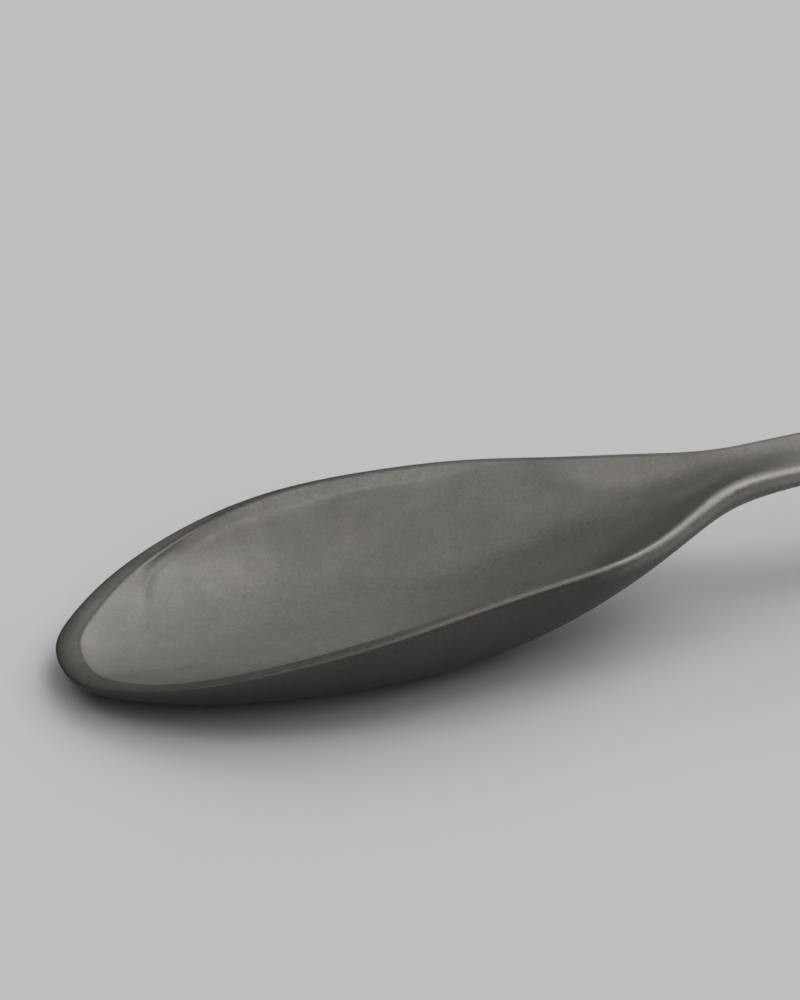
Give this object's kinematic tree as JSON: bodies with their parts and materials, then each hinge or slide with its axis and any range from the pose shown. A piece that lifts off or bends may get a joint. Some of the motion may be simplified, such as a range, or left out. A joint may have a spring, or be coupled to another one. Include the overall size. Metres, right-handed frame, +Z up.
{
  "type": "table spoon",
  "caption": "Plain table spoon in satin grey metal, with a slim egg-shaped bowl, a narrow neck and an arched handle with a rounded end.",
  "frame": {"origin": "middle of the spoon's length and width, on the surface that it rests on", "axes": "+X from the tip of the bowl to the end of the handle, +Y across the bowl, +Z up, out of the open bowl"},
  "size_m": [0.205, 0.036, 0.0167],
  "materials": {
    "metal": "satin, very fine tumbled grain, warm grey, worn smooth on the rim"
  },
  "bodies": {
    "root": {"spoon": "metal"}
  },
  "joints": []
}
